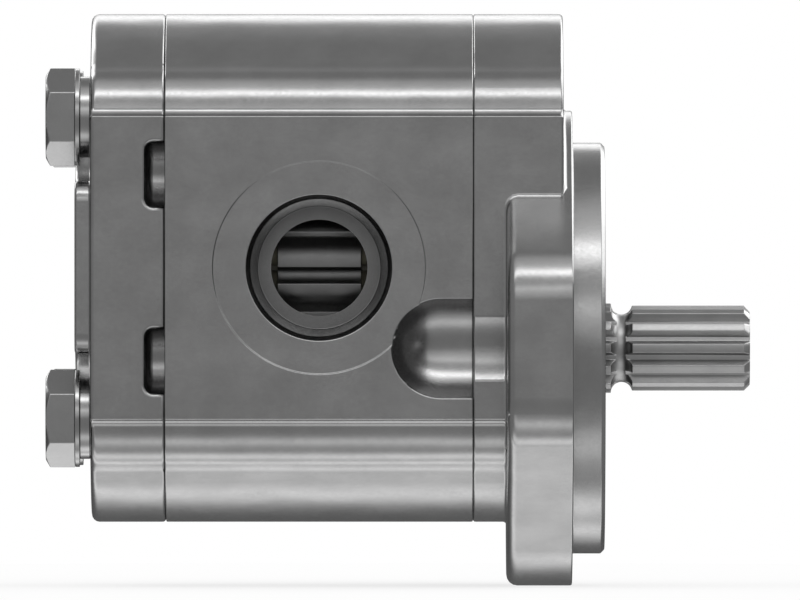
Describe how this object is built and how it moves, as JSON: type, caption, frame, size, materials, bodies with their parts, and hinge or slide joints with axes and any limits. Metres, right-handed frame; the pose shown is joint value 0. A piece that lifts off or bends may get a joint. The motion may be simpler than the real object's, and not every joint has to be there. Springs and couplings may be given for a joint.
{
  "type": "gear pump",
  "caption": "External gear pump with a bolted metal casing, a pilot flange with side ears, threaded side ports and a splined drive shaft.",
  "frame": {"origin": "centre of the pilot on the mounting face, on the drive shaft's axis", "axes": "+X out of the splined shaft end along the shafts, +Z from the drive shaft to the driven shaft, -Y towards the inlet port"},
  "size_m": [0.141, 0.1288, 0.1148],
  "materials": {
    "casing_aluminium": "cast and machined, bare",
    "block_aluminium": "die cast",
    "shaft_steel": "hardened and ground",
    "bolt_steel": "zinc plated",
    "washer_steel": "zinc plated",
    "spring_steel": "tempered",
    "bush_bronze": "lined bush",
    "seal_rubber": "nitrile rubber",
    "backup_plastic": "moulded"
  },
  "bodies": {
    "casing": {"rear_cover": "casing_aluminium", "gear_housing": "casing_aluminium", "front_cover": "casing_aluminium", "rear_bearing_block": "block_aluminium", "front_bearing_block": "block_aluminium", "drive_rear_bush": "bush_bronze", "driven_rear_bush": "bush_bronze", "drive_front_bush": "bush_bronze", "driven_front_bush": "bush_bronze", "rear_balance_seal": "seal_rubber", "front_balance_seal": "seal_rubber", "rear_backup_ring": "backup_plastic", "front_backup_ring": "backup_plastic", "rear_section_seal": "seal_rubber", "front_section_seal": "seal_rubber", "shaft_seal": "seal_rubber", "seal_garter_spring": "spring_steel", "seal_retaining_ring": "spring_steel", "rear_dowels": "shaft_steel", "front_dowels": "shaft_steel", "case_bolts": "bolt_steel", "flat_washers": "washer_steel", "spring_washers": "washer_steel"},
    "drive": {"drive_gear_shaft": "shaft_steel"},
    "driven": {"driven_gear_shaft": "shaft_steel"}
  },
  "joints": [
    {"name": "drive_shaft_spin", "type": "hinge", "parent": "casing", "child": "drive", "pos_m": [-0.0507, 0, 0], "axis": [1, 0, 0], "continuous": true},
    {"name": "driven_gear_spin", "type": "hinge", "parent": "casing", "child": "driven", "pos_m": [-0.0507, 0, 0.0322], "axis": [1, 0, 0], "continuous": true}
  ],
  "couplings": [
    {"joint": "driven_gear_spin", "follows": "drive_shaft_spin", "ratio": -1}
  ]
}
